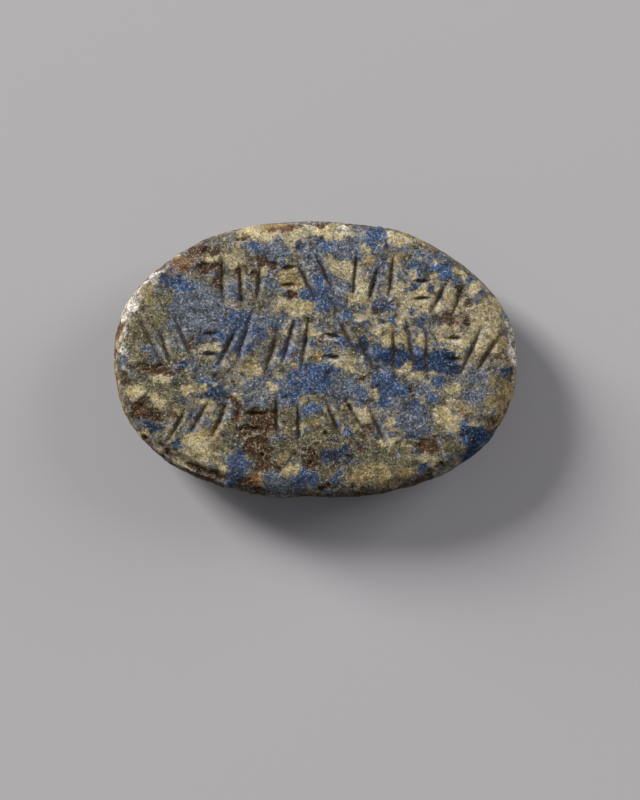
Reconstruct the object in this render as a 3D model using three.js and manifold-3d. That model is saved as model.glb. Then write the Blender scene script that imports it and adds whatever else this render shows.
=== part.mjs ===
// An oval seal stone of lapis lazuli, engraved with rows of shallow strokes and worn with age.
// It lies on its flat back with the engraved face up. Millimetres, +Z up: X runs along the long
// axis, Y across the face, and the origin is the middle of the back.

import * as THREE from "three";
import { mergeVertices } from "three/addons/utils/BufferGeometryUtils.js";
import Module from "manifold-3d";

// Overall sizes
const LENGTH = 20.0; // along X, over the girdle, which is the stone's widest line
const WIDTH = 13.8; // along Y, over the girdle
const THICKNESS = 3.4; // from the back to the middle of the face

// Cross-section, from the face round the girdle to the back
const FACE_DOME = 0.12; // how far the face's middle rises above its border
const SHOULDER_WIDTH = 1.6; // how far in from the girdle the face begins to round off
const SHOULDER_FULLNESS = 2.4; // 2 rounds it as a quarter ellipse, and more makes it squarer
const GIRDLE_HEIGHT = 2.0; // of the girdle above the back
const BACK_INSET = 1.15; // how far in from the girdle the flat of the back begins
const BACK_FULLNESS = 1.5; // 1 is a plain bevel down to the back, and 2 a quarter ellipse

// Outline: an oval a little fuller than an ellipse, with stretches ground or worn flatter.
// Angles are degrees round the face, from +X towards +Y, and reach is to each side of the middle.
const OUTLINE_FULLNESS = 2.25; // 2 is an ellipse, and more fills out its corners
const OUTLINE_FLATS = [
  { at: 31, reach: 31, depth: 0.34 }, // the flatter upper right
  { at: 148, reach: 20, depth: 0.12 },
  { at: 269, reach: 16, depth: 0.09 },
];

// Damage to the rim: long flakes lost from the shoulder, each a trough that runs along the girdle
const RIM_FLAKES = [
  { at: 221, reach: 24, inset: 0.62, breadth: 0.34, depth: 0.26 }, // leaves a raised lip outside it
  { at: 2, reach: 24, inset: 0.3, breadth: 0.42, depth: 0.2 },
  { at: 131, reach: 13, inset: 0.75, breadth: 0.6, depth: 0.12 },
];

// The engraving: rows of strokes, each cut by a small wheel that leaves a boat-shaped groove.
// left, right, level and arch are shares of the half length and half width. An arch is how much
// lower the row would be at the stone's ends than in the middle. slope is in degrees.
const ROWS = [
  { left: -0.53, right: 0.77, level: 0.6, arch: 0.38, slope: 0, marks: 12, stroke: 2.35 },
  { left: -0.88, right: 0.91, level: 0.1, arch: 0, slope: -1.2, marks: 18, stroke: 2.8 },
  { left: -0.77, right: 0.39, level: -0.43, arch: 0, slope: 0.5, marks: 9, stroke: 2.1 },
];
const FIELD_MARGIN = 0.95; // the least width of plain border between a stroke's end and the girdle
const GATHERED = 3; // marks that stand closer together in one group
const GATHERING = 0.18; // how much closer, as a share of the space that a mark has along its row
const STROKE_DEPTH = 0.14;
const STROKE_FLOOR = 0.06; // width of the flat that the wheel's worn edge leaves at the bottom
const STEEP_FLANK = 36; // degrees from upright, on the side towards the upper left of the face
const OPEN_FLANK = 58; // degrees from upright, on the side towards the lower right
const LEAN = 28; // how far a group's strokes lean to either side of upright
const GROUPS_PER_SWAY = 3.6; // groups in one to and fro of the lean along a row
const ROW_SWAY = 1.3; // groups by which each row's lean is ahead of the row's above
const DASHES_EVERY = 6; // one mark in so many is a pair of level dashes
const DASH_LENGTH = 0.9; // as a share of the space that a mark has along its row
const DASH_DEPTH = 0.12;
const DASH_SPREAD = 0.36; // between the two dashes, as a share of the row's stroke

// The engraver's unevenness, to either side
const UNEVEN_SIZE = 0.13; // of the strokes' length, depth and level, as a share
const UNEVEN_LEAN = 5; // degrees

// Fineness of the faceted surface
const SECTORS = 108;
const SHOULDER_RINGS = 10;
const FACE_RINGS = 3;
const SIDE_RINGS = 5;
const STROKE_STEPS = 8;
const CUTTER_CLEARANCE = 0.3; // how far a cutter stands out of the face

const LAPIS = { color: 0x6f7784, roughness: 0.62, metalness: 0.0 };

const degrees = THREE.MathUtils.degToRad;

// 1 at the middle of a stretch of rim, falling smoothly to 0 at its ends.
function stretch(angle, { at, reach }) {
  const turn = Math.atan2(Math.sin(angle - degrees(at)), Math.cos(angle - degrees(at)));
  const share = Math.min(1, Math.abs(turn) / degrees(reach));
  return Math.cos((share * Math.PI) / 2) ** 2;
}

// The girdle's distance from the middle: a superellipse, less the flats.
function girdleRadius(angle) {
  const along = Math.abs(Math.cos(angle)) / (LENGTH / 2);
  const across = Math.abs(Math.sin(angle)) / (WIDTH / 2);
  const oval = (along ** OUTLINE_FULLNESS + across ** OUTLINE_FULLNESS) ** (-1 / OUTLINE_FULLNESS);
  return OUTLINE_FLATS.reduce((radius, flat) => radius - flat.depth * stretch(angle, flat), oval);
}

// How much lower the rim's flakes leave the surface, at a distance in from the girdle.
function flakeDepth(angle, inset) {
  return RIM_FLAKES.reduce((sum, flake) => {
    const across = Math.min(1, Math.abs(inset - flake.inset) / flake.breadth);
    return sum + flake.depth * stretch(angle, flake) * (1 - across ** 2) ** 2;
  }, 0);
}

// The upper surface's height: a low dome, rounded off in a superelliptic shoulder to the girdle.
function faceHeight(x, y) {
  const angle = Math.atan2(y, x);
  const girdle = girdleRadius(angle);
  const inset = Math.max(0, girdle - Math.hypot(x, y));
  const border = THICKNESS - FACE_DOME;
  if (inset >= SHOULDER_WIDTH) {
    const outward = (girdle - inset) / (girdle - SHOULDER_WIDTH);
    return border + FACE_DOME * (1 - outward ** 2);
  }
  const down = (1 - inset / SHOULDER_WIDTH) ** SHOULDER_FULLNESS;
  const rise = (border - GIRDLE_HEIGHT) * (1 - down) ** (1 / SHOULDER_FULLNESS);
  return GIRDLE_HEIGHT + rise - flakeDepth(angle, inset);
}

// Quarter of a superellipse in steps, as [inward, downward] shares of its width and height.
function roundedQuarter(fullness, steps) {
  return Array.from({ length: steps + 1 }, (_, step) => {
    const turn = (step / steps) * (Math.PI / 2);
    return [1 - Math.cos(turn) ** (2 / fullness), Math.sin(turn) ** (2 / fullness)];
  });
}

// The blank stone: a lathe-turned section, whose rings are then drawn out to the oval girdle.
function blankGeometry() {
  const turned = WIDTH / 2;
  const back = roundedQuarter(BACK_FULLNESS, SIDE_RINGS).map(
    ([inward, downward]) =>
      new THREE.Vector2(turned - BACK_INSET * inward, GIRDLE_HEIGHT * (1 - downward)),
  );
  const shoulder = roundedQuarter(SHOULDER_FULLNESS, SHOULDER_RINGS).map(
    ([inward]) => new THREE.Vector2(turned - SHOULDER_WIDTH * inward, THICKNESS),
  );
  const face = Array.from(
    { length: FACE_RINGS },
    (_, ring) =>
      new THREE.Vector2((turned - SHOULDER_WIDTH) * (1 - (ring + 1) / FACE_RINGS), THICKNESS),
  );
  const profile = [new THREE.Vector2(0, 0), ...back.reverse(), ...shoulder.slice(1), ...face];
  const geometry = new THREE.LatheGeometry(profile, SECTORS).rotateX(Math.PI / 2);

  const places = geometry.getAttribute("position");
  for (let i = 0; i < places.count; i++) {
    const turnedRadius = Math.hypot(places.getX(i), places.getY(i));
    const angle = Math.atan2(places.getY(i), places.getX(i));
    const girdle = girdleRadius(angle);
    const inset = turned - turnedRadius;
    const radius =
      inset <= SHOULDER_WIDTH
        ? girdle - inset
        : ((girdle - SHOULDER_WIDTH) * turnedRadius) / (turned - SHOULDER_WIDTH);
    const x = radius * Math.cos(angle);
    const y = radius * Math.sin(angle);
    const height = places.getZ(i) > GIRDLE_HEIGHT ? faceHeight(x, y) : places.getZ(i);
    places.setXYZ(i, x, y, height);
  }
  return geometry;
}

// A cutter for one stroke, along X: an open V on a narrow floor, extruded, with its floor raised to
// an arc as a wheel's edge is. half is 1 at the groove's ends, and the floor there meets the face.
function strokeCutter({ length, depth }) {
  const endRise = 0.9 * CUTTER_CLEARANCE;
  const runOut = Math.sqrt(1 + endRise / depth);
  const flankWidth = (flank, floorHeight) =>
    STROKE_FLOOR / 2 + (CUTTER_CLEARANCE - floorHeight) * Math.tan(degrees(flank));
  const section = new THREE.Shape([
    new THREE.Vector2(-STROKE_FLOOR / 2, -depth),
    new THREE.Vector2(STROKE_FLOOR / 2, -depth),
    new THREE.Vector2(flankWidth(STEEP_FLANK, -depth), CUTTER_CLEARANCE),
    new THREE.Vector2(-flankWidth(OPEN_FLANK, -depth), CUTTER_CLEARANCE),
  ]);
  const geometry = new THREE.ExtrudeGeometry(section, {
    depth: length * runOut,
    steps: STROKE_STEPS,
    bevelEnabled: false,
  }).translate(0, 0, (-length * runOut) / 2);

  const places = geometry.getAttribute("position");
  for (let i = 0; i < places.count; i++) {
    const half = places.getZ(i) / (length / 2);
    const floorHeight = -depth * (1 - half ** 2);
    if (places.getY(i) < 0) {
      places.setY(i, floorHeight);
    } else {
      const steep = places.getX(i) > 0;
      const width = flankWidth(steep ? STEEP_FLANK : OPEN_FLANK, floorHeight);
      places.setX(i, steep ? width : -width);
    }
  }
  const [across, up, along] = [
    new THREE.Vector3(0, 1, 0),
    new THREE.Vector3(0, 0, 1),
    new THREE.Vector3(1, 0, 0),
  ];
  return geometry.applyMatrix4(new THREE.Matrix4().makeBasis(across, up, along));
}

// A number from -1 to 1 that changes from mark to mark.
const uneven = (mark, rowNumber) => Math.sin(2.4 * mark + 1.7 * rowNumber);

// Half the height of the field that may hold strokes, at a distance along the stone.
function fieldHalfHeight(x) {
  const along = Math.min(1, Math.abs(x) / (LENGTH / 2 - FIELD_MARGIN));
  return (WIDTH / 2 - FIELD_MARGIN) * (1 - along ** OUTLINE_FULLNESS) ** (1 / OUTLINE_FULLNESS);
}

// The height on the face of a row's middle line, at a distance along the stone.
function rowLevel(row, x) {
  const share = row.level - row.arch * (x / (LENGTH / 2)) ** 2;
  return share * (WIDTH / 2) + x * Math.tan(degrees(row.slope));
}

// One leaning stroke, kept inside the field.
function leaningStroke(row, rowNumber, mark, x, level) {
  const group = Math.floor(mark / GATHERED) + ROW_SWAY * rowNumber;
  const sway = Math.sin((2 * Math.PI * group) / GROUPS_PER_SWAY);
  const hand = uneven(mark, rowNumber);
  const middle = level + UNEVEN_SIZE * row.stroke * uneven(mark + GATHERED, rowNumber);
  const half = (row.stroke / 2) * (1 + UNEVEN_SIZE * hand);
  const top = Math.min(fieldHalfHeight(x), middle + half);
  const bottom = Math.max(-fieldHalfHeight(x), middle - half);
  return {
    x,
    y: (top + bottom) / 2,
    length: top - bottom,
    depth: STROKE_DEPTH * (1 - UNEVEN_SIZE * hand),
    tilt: 90 + LEAN * sway + UNEVEN_LEAN * hand,
  };
}

// Two level dashes, one above the other.
function dashPair(row, rowNumber, mark, x, level, space) {
  return [-0.5, 0.5].map((side) => ({
    x,
    y: level + side * DASH_SPREAD * row.stroke,
    length: DASH_LENGTH * space,
    depth: DASH_DEPTH,
    tilt: row.slope + UNEVEN_LEAN * uneven(mark, rowNumber),
  }));
}

// Every stroke of the engraving. The strokes of a group are nearly parallel, and groups stand apart,
// so that no two strokes meet in a corner or cross.
function strokeLayout() {
  const strokes = [];
  ROWS.forEach((row, rowNumber) => {
    const left = row.left * (LENGTH / 2);
    const space = (row.right * (LENGTH / 2) - left) / row.marks;
    for (let mark = 0; mark < row.marks; mark++) {
      const gathered = GATHERING * ((GATHERED - 1) / 2 - (mark % GATHERED));
      const x = left + (mark + 0.5 + gathered) * space;
      const level = rowLevel(row, x);
      if (mark % DASHES_EVERY === Math.floor(DASHES_EVERY / 2)) {
        strokes.push(...dashPair(row, rowNumber, mark, x, level, space));
      } else {
        strokes.push(leaningStroke(row, rowNumber, mark, x, level));
      }
    }
  });
  return strokes;
}

const wasm = await Module();
wasm.setup();

// A closed three.js geometry as a solid that can be cut. Triangles that a lathe's poles or an
// extrusion's seams leave with two equal corners are dropped.
function solidFrom(geometry) {
  const bare = geometry.clone().deleteAttribute("normal").deleteAttribute("uv");
  const merged = mergeVertices(bare, 1e-5);
  const corners = merged.index.array;
  const kept = [];
  for (let i = 0; i < corners.length; i += 3) {
    const [a, b, c] = [corners[i], corners[i + 1], corners[i + 2]];
    if (a !== b && b !== c && c !== a) kept.push(a, b, c);
  }
  return new wasm.Manifold(
    new wasm.Mesh({
      numProp: 3,
      vertProperties: new Float32Array(merged.getAttribute("position").array),
      triVerts: new Uint32Array(kept),
    }),
  );
}

// A cut solid as a three.js geometry.
function geometryFrom(solid) {
  const mesh = solid.getMesh();
  const geometry = new THREE.BufferGeometry();
  geometry.setAttribute("position", new THREE.BufferAttribute(mesh.vertProperties, 3));
  geometry.setIndex(new THREE.BufferAttribute(mesh.triVerts, 1));
  geometry.computeVertexNormals();
  return geometry;
}

// The blank with every stroke cut into its face.
function engravedStone() {
  let stone = solidFrom(blankGeometry());
  for (const stroke of strokeLayout()) {
    const cutter = strokeCutter(stroke)
      .rotateZ(degrees(stroke.tilt))
      .translate(stroke.x, stroke.y, faceHeight(stroke.x, stroke.y));
    stone = stone.subtract(solidFrom(cutter));
  }
  const mesh = new THREE.Mesh(geometryFrom(stone), new THREE.MeshStandardMaterial(LAPIS));
  mesh.name = "engraved_stone";

  // The flats and flakes leave the oval a little off centre, so it is set square on the origin.
  mesh.geometry.computeBoundingBox();
  const middle = mesh.geometry.boundingBox.getCenter(new THREE.Vector3());
  mesh.position.set(-middle.x, -middle.y, 0);
  return mesh;
}

const gem = new THREE.Group();
gem.add(engravedStone());

export default gem;
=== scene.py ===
# %% [markdown]
# # An oval seal stone of lapis lazuli
#
# The real object is one flat oval of rock, 20 mm long, with a worn engraved face. It was sawn,
# ground to an oval with a rounded shoulder, and engraved with a small wheel. Then it lay in the
# earth, which ate pits into it and stained it brown. This file makes the fine surface of that
# stone over its measured solid. Blender works in metres, and a gem's sizes are easier to read in
# millimetres, so every length below is in millimetres until the mesh is written.

import bpy
import numpy as np
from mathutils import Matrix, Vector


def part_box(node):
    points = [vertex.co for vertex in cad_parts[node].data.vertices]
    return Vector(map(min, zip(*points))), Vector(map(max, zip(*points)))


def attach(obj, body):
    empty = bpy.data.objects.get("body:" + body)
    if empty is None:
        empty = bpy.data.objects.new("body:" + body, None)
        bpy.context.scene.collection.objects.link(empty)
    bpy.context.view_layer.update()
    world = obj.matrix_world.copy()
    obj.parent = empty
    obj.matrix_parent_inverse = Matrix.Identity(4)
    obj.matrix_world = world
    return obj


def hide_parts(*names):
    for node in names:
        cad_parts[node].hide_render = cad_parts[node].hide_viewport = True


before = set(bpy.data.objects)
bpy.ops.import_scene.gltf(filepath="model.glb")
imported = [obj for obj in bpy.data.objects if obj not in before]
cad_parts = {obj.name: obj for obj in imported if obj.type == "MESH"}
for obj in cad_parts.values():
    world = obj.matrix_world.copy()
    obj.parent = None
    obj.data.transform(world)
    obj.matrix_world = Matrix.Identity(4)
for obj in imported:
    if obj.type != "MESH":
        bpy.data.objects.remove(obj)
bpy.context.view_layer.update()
NODE = "engraved_stone"
MM = 0.001

stone_box = np.array(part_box(NODE)) / MM
print("the solid's box in mm:", stone_box.round(3).tolist())

# %% [markdown]
# ## The camera
#
# The photograph looks straight down on the engraved face from some way off, so the oval is not
# distorted. A long lens does the same here. The picture is 800 pixels high, and the stone's 20 mm
# take up 405 of them, which gives the height of the picture in millimetres. The camera's distance
# follows from that height, the lens and the sensor. The stone sits a little above the picture's
# middle, so the camera stands a little below the stone's middle, and needs no shift.

# %% Camera
PICTURE_HEIGHT_PX = 800
STONE_LENGTH_PX = 405
STONE_RIGHT_OF_MIDDLE_PX = -4.5
STONE_ABOVE_MIDDLE_PX = 40
LENS = 120.0
SENSOR = 36.0
GIRDLE_HEIGHT = 2.0

length = stone_box[1, 0] - stone_box[0, 0]
mm_per_px = length / STONE_LENGTH_PX
camera_distance = PICTURE_HEIGHT_PX * mm_per_px * LENS / SENSOR

camera_data = bpy.data.cameras.new("camera")
camera_data.lens = LENS
camera_data.sensor_width = SENSOR
camera_data.clip_start = 0.01
camera_data.clip_end = 10.0
camera = bpy.data.objects.new("camera", camera_data)
camera.location = (
    -STONE_RIGHT_OF_MIDDLE_PX * mm_per_px * MM,
    -STONE_ABOVE_MIDDLE_PX * mm_per_px * MM,
    (GIRDLE_HEIGHT + camera_distance) * MM,
)
bpy.context.scene.collection.objects.link(camera)
bpy.context.scene.camera = camera
print(f"one pixel is {mm_per_px:.4f} mm, and the camera is {camera_distance:.1f} mm away")

# %% [markdown]
# ## Light and floor
#
# Engraving shows best in light that rakes across it. The photograph's main light comes from the
# upper left, low enough to darken each stroke's upper left wall and to whiten the left shoulder.
# A smaller lamp beside it, lower still, brings out the grain, and a large, weak one from the upper
# right keeps the shaded walls readable. All three are area lights, which give the soft shadow edges
# of a studio. They stand a metre off, because close to a small stone they would light the floor
# unevenly. Colours are compared with a photograph, so the plain Standard view is used, which shows
# a colour as it was mixed.


# %% Lights
def add_area_light(name, place, size, power, colour):
    """Adds a square area light at a place in millimetres, turned to face the stone."""
    light = bpy.data.lights.new(name, "AREA")
    light.size = size * MM
    light.energy = power
    light.color = colour
    lamp = bpy.data.objects.new(name, light)
    lamp.location = np.array(place) * MM
    lamp.rotation_euler = (-lamp.location).to_track_quat("-Z", "Y").to_euler()
    bpy.context.scene.collection.objects.link(lamp)
    return lamp


# each lamp's name, place, breadth, power in watts and colour
add_area_light("key_light", (-744, 684, 495), 330, 18.7, (1.0, 0.96, 0.9))
add_area_light("raking_light", (-900, 642, 240), 210, 5.6, (1.0, 0.97, 0.93))
add_area_light("fill_light", (804, 510, 345), 540, 6.9, (1.0, 0.97, 0.94))

ROOM_COLOUR = (1.0, 0.97, 0.95, 1)
ROOM_STRENGTH = 0.22
world = bpy.data.worlds.new("studio")
world.use_nodes = True
room = world.node_tree.nodes["Background"]
room.inputs["Color"].default_value = ROOM_COLOUR
room.inputs["Strength"].default_value = ROOM_STRENGTH
bpy.context.scene.world = world
bpy.context.scene.view_settings.view_transform = "Standard"
print(len(bpy.data.lights), "lamps light the stone")

# %% Floor
FLOOR_SIZE = 1500
FLOOR_GAP = 0.01
PAPER_COLOUR = (0.36, 0.36, 0.39, 1)
PAPER_ROUGHNESS = 0.9

floor_mesh = bpy.data.meshes.new("floor")
half_floor = FLOOR_SIZE / 2 * MM
floor_mesh.from_pydata(
    [
        (x * half_floor, y * half_floor, -FLOOR_GAP * MM)
        for x, y in ((-1, -1), (1, -1), (1, 1), (-1, 1))
    ],
    [],
    [(0, 1, 2, 3)],
)
floor = bpy.data.objects.new("floor", floor_mesh)
bpy.context.scene.collection.objects.link(floor)
floor_finish = bpy.data.materials.new("pale_grey_paper")
floor_finish.use_nodes = True
paper = floor_finish.node_tree.nodes["Principled BSDF"]
paper.inputs["Base Color"].default_value = PAPER_COLOUR
paper.inputs["Roughness"].default_value = PAPER_ROUGHNESS
floor_mesh.materials.append(floor_finish)
print(f"the floor is {FLOOR_SIZE} mm wide")

# %% [markdown]
# ## Noise
#
# Rock and wear are irregular at every size at once. Blender's noise texture can do that in a
# shader, but the mesh's own relief and the colours that go with it need the same noise as numbers.
# Gradient noise gives each corner of a cubic lattice a random slope and eases between them. Adding
# the same noise at half the size and half the strength, again and again, gives the broken look of
# a natural surface. Every noise has a seed of its own, so the stone comes out the same each time.


# %% Gradient noise
def gradient_noise(points, size, seed):
    """Noise from about -1 to 1 with features of a size.

    A point is weighed against the random slopes of the eight lattice corners around it, and the
    eight answers are blended by the easing curve 6t^5 - 15t^4 + 10t^3 along each axis.
    """
    random = np.random.default_rng(seed)
    slopes = random.normal(size=(256, 3))
    slopes /= np.linalg.norm(slopes, axis=1, keepdims=True)
    order = random.permutation(256)
    place = points / size
    cell = np.floor(place).astype(int)
    within = place - cell
    ease = within**3 * (within * (within * 6 - 15) + 10)
    total = np.zeros(len(points))
    for corner in np.ndindex(2, 2, 2):
        x, y, z = ((cell + corner) % 256).T
        slope = slopes[order[(order[(order[x] + y) % 256] + z) % 256]]
        share = np.prod(np.where(corner, ease, 1 - ease), axis=1)
        total += share * np.sum(slope * (within - corner), axis=1)
    return total * 1.7


def rough_noise(points, size, layers, seed):
    """Gradient noise with each further layer at half the size and half the strength."""
    strengths = 0.5 ** np.arange(layers)
    total = sum(
        strength * gradient_noise(points, size * strength, seed + layer)
        for layer, strength in enumerate(strengths)
    )
    return total / np.sqrt(np.sum(strengths**2))


def smooth_step(value, low, high):
    """0 below low, 1 above high, and 3t^2 - 2t^3 between them."""
    t = np.clip((value - low) / (high - low), 0, 1)
    return t * t * (3 - 2 * t)


sample = rough_noise(np.random.default_rng(1).uniform(0, 50, (2000, 3)), 1.0, 3, 1)
print(f"noise runs from {sample.min():.2f} to {sample.max():.2f}")

# %% [markdown]
# ## The oval and its profile
#
# The outline is a superellipse: an ellipse whose power is a little over 2, so that its corners are
# fuller. Stretches of it are ground or worn flatter, most of all the upper right. The section
# rounds over in a shoulder from the nearly flat face to the girdle, the stone's widest line, and
# slopes in again to a smaller flat back, so that a bezel could grip it.

# %% Outline and section
LENGTH = 20.0
WIDTH = 13.8
THICKNESS = 3.4
FACE_DOME = 0.12
SHOULDER_WIDTH = 1.6
SHOULDER_FULLNESS = 2.4
BACK_INSET = 1.15
BACK_FULLNESS = 1.5
OUTLINE_FULLNESS = 2.25
# each flat's middle and its reach to either side, in degrees, and its depth
OUTLINE_FLATS = [(31, 31, 0.34), (148, 20, 0.12), (269, 16, 0.09)]
# each flake's middle and reach in degrees, its inset from the girdle, breadth and depth
RIM_FLAKES = [(221, 24, 0.62, 0.34, 0.26), (2, 24, 0.3, 0.42, 0.2), (131, 13, 0.75, 0.6, 0.12)]


def stretch(angle, middle, reach):
    """1 at the middle of a stretch of rim, falling to 0 at its ends as a squared cosine."""
    turn = np.angle(np.exp(1j * (angle - np.radians(middle))))
    share = np.clip(np.abs(turn) / np.radians(reach), 0, 1)
    return np.cos(share * np.pi / 2) ** 2


def girdle_radius(angle):
    """The girdle's distance from the middle: a superellipse less the flats."""
    along = np.abs(np.cos(angle)) / (LENGTH / 2)
    across = np.abs(np.sin(angle)) / (WIDTH / 2)
    power = OUTLINE_FULLNESS
    oval = (along**power + across**power) ** (-1 / power)
    return oval - sum(depth * stretch(angle, at, reach) for at, reach, depth in OUTLINE_FLATS)


def flake_depth(angle, inset):
    """How much lower the rim's long flakes leave the surface, at an inset from the girdle."""
    return sum(
        depth
        * stretch(angle, at, reach)
        * (1 - np.clip(np.abs(inset - middle) / breadth, 0, 1) ** 2) ** 2
        for at, reach, middle, breadth, depth in RIM_FLAKES
    )


def face_height(x, y):
    """The plain upper surface: a low dome, rounded off in a superelliptic shoulder."""
    angle = np.arctan2(y, x)
    girdle = girdle_radius(angle)
    inset = np.maximum(0, girdle - np.hypot(x, y))
    border = THICKNESS - FACE_DOME
    outward = np.clip((girdle - inset) / (girdle - SHOULDER_WIDTH), 0, 1)
    down = np.clip(1 - inset / SHOULDER_WIDTH, 0, 1) ** SHOULDER_FULLNESS
    shoulder = (border - GIRDLE_HEIGHT) * (1 - down) ** (1 / SHOULDER_FULLNESS)
    return GIRDLE_HEIGHT + shoulder + FACE_DOME * (1 - outward**2) - flake_depth(angle, inset)


turn = np.radians(np.arange(0, 360, 0.25))
outline = girdle_radius(turn)[:, None] * np.stack([np.cos(turn), np.sin(turn)], axis=1)
# the worn flats leave the oval a little off centre, so it is set square on the origin
CENTRE = (outline.min(axis=0) + outline.max(axis=0)) / 2
print("the oval measures", np.ptp(outline, axis=0).round(3), "mm, middle", CENTRE.round(3))

# %% [markdown]
# ## A grid that fits an oval
#
# Rings and spokes would crowd their points at the middle and starve the rim. A square grid bent
# into a disc keeps its cells nearly alike: each square shell of the grid becomes a ring, and a
# point's share along its side becomes its angle. The face then gets cells finer than the strokes
# are wide. The sides are plain rings below it. The back shows little, so its grid has half as many
# cells each way, and one narrow band of triangles joins two cells of the side to one of the back.

# %% A square grid bent into a disc
FACE_CELLS = 256
SIDE_RINGS = 9
# the share of the rings that lies within the shoulder
SHOULDER_STARTS = 0.77
BACK_BAND = 0.12


def disc_grid(cells):
    """Radius shares, angles and corner numbers of a square grid bent into a disc.

    A point (u, v) of the square goes to radius max(|u|, |v|), at 45 degrees times the smaller of
    the two over the larger, counted from the nearest axis.
    """
    u, v = np.meshgrid(np.linspace(-1, 1, cells + 1), np.linspace(-1, 1, cells + 1))
    u, v = u.ravel(), v.ravel()
    sideways = np.abs(u) >= np.abs(v)
    larger = np.where(sideways, u, v)
    smaller = np.where(sideways, v, u)
    share = np.divide(smaller, larger, out=np.zeros_like(u), where=larger != 0)
    quarter = np.where(sideways, share, 2 - share) * np.pi / 4
    angle = quarter + np.where(larger < 0, np.pi, 0)
    first = (np.arange(cells)[:, None] * (cells + 1) + np.arange(cells)).ravel()
    quads = np.stack([first, first + 1, first + cells + 2, first + cells + 1], axis=1)
    return np.abs(larger), angle, quads


def disc_border(cells):
    """The numbers of a disc grid's border points, counter-clockwise from -45 degrees."""
    row = cells + 1
    right = np.arange(cells) * row + cells
    top = cells * row + np.arange(cells, 0, -1)
    left = np.arange(cells, 0, -1) * row
    bottom = np.arange(cells)
    return np.concatenate([right, top, left, bottom])


# %% The three surfaces
def face_points():
    """The upper surface: the inner rings reach to the shoulder, and the outer ones round it."""
    share, angle, quads = disc_grid(FACE_CELLS)
    girdle = girdle_radius(angle)
    inner = (girdle - SHOULDER_WIDTH) * np.clip(share / SHOULDER_STARTS, 0, 1)
    roll = np.clip((share - SHOULDER_STARTS) / (1 - SHOULDER_STARTS), 0, 1) * np.pi / 2
    radius = inner + SHOULDER_WIDTH * np.sin(roll) ** (2 / SHOULDER_FULLNESS)
    x, y = radius * np.cos(angle), radius * np.sin(angle)
    return np.stack([x, y, face_height(x, y)], axis=1), quads


def side_points():
    """Rings from just below the girdle to the back's edge, along a quarter superellipse."""
    angle = np.arange(4 * FACE_CELLS) / (4 * FACE_CELLS) * 2 * np.pi - np.pi / 4
    roll = (np.arange(1, SIDE_RINGS + 1) / SIDE_RINGS * np.pi / 2)[:, None]
    radius = girdle_radius(angle) - BACK_INSET * (1 - np.cos(roll) ** (2 / BACK_FULLNESS))
    height = GIRDLE_HEIGHT * (1 - np.sin(roll) ** (2 / BACK_FULLNESS)) + 0 * radius
    return np.stack([radius * np.cos(angle), radius * np.sin(angle), height], axis=-1)


def back_points():
    """The flat back: a disc grid at height 0, a band's breadth inside the last side ring."""
    share, angle, quads = disc_grid(FACE_CELLS // 2)
    radius = (girdle_radius(angle) - BACK_INSET - BACK_BAND) * share
    flat = np.stack([radius * np.cos(angle), radius * np.sin(angle), 0 * radius], axis=1)
    return flat, quads[:, ::-1]


# %% Join the face, the sides and the back
face, face_quads = face_points()
side = side_points()
back, back_quads = back_points()

side_start = len(face)
back_start = side_start + side.size // 3
rim_count = 4 * FACE_CELLS
side_numbers = side_start + np.arange(SIDE_RINGS * rim_count).reshape(SIDE_RINGS, rim_count)
rings = np.vstack([disc_border(FACE_CELLS), side_numbers])
upper, lower = rings[:-1], rings[1:]
side_quads = np.stack([upper, lower, np.roll(lower, -1, 1), np.roll(upper, -1, 1)], axis=-1)

fine = rings[-1]
coarse = back_start + disc_border(FACE_CELLS // 2)
even, odd, next_even = fine[::2], fine[1::2], np.roll(fine, -2)[::2]
next_coarse = np.roll(coarse, -1)
band = np.vstack(
    [
        np.stack([even, coarse, odd], axis=1),
        np.stack([odd, coarse, next_coarse], axis=1),
        np.stack([odd, next_coarse, next_even], axis=1),
    ]
)
plain = np.vstack([face, side.reshape(-1, 3), back])
quads = np.vstack([face_quads, side_quads.reshape(-1, 4), back_quads + back_start])
print(f"{len(plain)} points, {2 * len(quads) + len(band)} triangles")

# %% [markdown]
# ## The strokes
#
# A wheel held to the stone cuts a boat-shaped groove: deepest in the middle, running out to a
# point at each end, with a V section. Here a stroke's floor is a parabola along its length, and
# its walls rise from a narrow floor at a slope each, steeper towards the upper left. The strokes
# stand in three rows, in groups of which the strokes lie side by side and lean alike. They are cut
# into the heights of the face's points, because a boolean for each would take long and leave thin
# triangles.

# %% Sizes of the rows and strokes
# each row's left and right ends, level and arch as shares of the half length and half width, its
# slope in degrees, the number of its marks and the length of its strokes
ROWS = [
    (-0.53, 0.77, 0.6, 0.38, 0.0, 12, 2.35),
    (-0.88, 0.91, 0.1, 0.0, -1.2, 18, 2.8),
    (-0.77, 0.39, -0.43, 0.0, 0.5, 9, 2.1),
]
# the bare border round the strokes
FIELD_MARGIN = 0.95
# how many strokes are gathered in a group, and how far they draw together as a share of a space
GATHERED = 3
GATHERING = 0.18
STROKE_DEPTH = 0.14
STROKE_FLOOR = 0.06
# the walls' angles from upright and the strokes' greatest lean, in degrees
STEEP_FLANK = 36
OPEN_FLANK = 58
LEAN = 28
# the lean sways to and fro in so many groups, and each row starts so many groups on
GROUPS_PER_SWAY = 3.6
ROW_SWAY = 1.3
# every sixth mark is a pair of short dashes, whose length and spread are shares of a space and of
# a stroke
DASHES_EVERY = 6
DASH_LENGTH = 0.9
DASH_DEPTH = 0.12
DASH_SPREAD = 0.36
# how uneven the hand is, as a share of a stroke and in degrees
UNEVEN_SIZE = 0.13
UNEVEN_LEAN = 5
# where dirt and painted shade, and fresh rock and a painted highlight, lie across a stroke, counted
# towards its steep wall, and their strength
DIRT_AND_SHADE_MIDDLE = 0.03
DIRT_AND_SHADE_REACH = 0.13
FRESH_AND_HIGHLIGHT_MIDDLE = -0.2
FRESH_AND_HIGHLIGHT_REACH = 0.12
COVER = 1.7


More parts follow.
